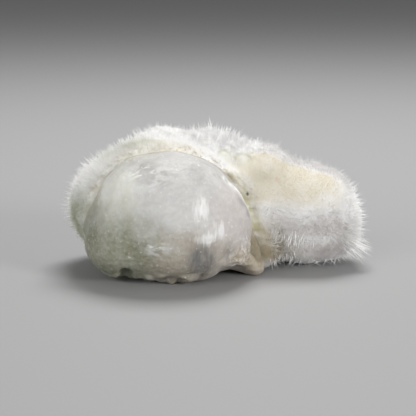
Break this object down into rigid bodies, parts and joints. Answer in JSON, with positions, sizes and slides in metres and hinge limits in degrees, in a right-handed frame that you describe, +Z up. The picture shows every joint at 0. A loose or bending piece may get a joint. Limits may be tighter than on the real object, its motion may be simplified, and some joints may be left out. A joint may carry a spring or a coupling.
{
  "type": "okenite puffball",
  "caption": "Mineral specimen: balls of fine white needles grown together round a smooth, milky nodule. Rests on its underside on a shelf.",
  "frame": {"origin": "middle of the outline, on the surface that the specimen rests on", "axes": "+Z up, +X right along the row of balls, +Y to the back; the smooth nodule faces -Y"},
  "size_m": [0.0579, 0.0428, 0.0266],
  "materials": {
    "nodule": "waxy, milky translucent",
    "needles": "matt felt of silky needles"
  },
  "bodies": {
    "root": {"nodule": "nodule", "puffballs": "needles"}
  },
  "joints": []
}
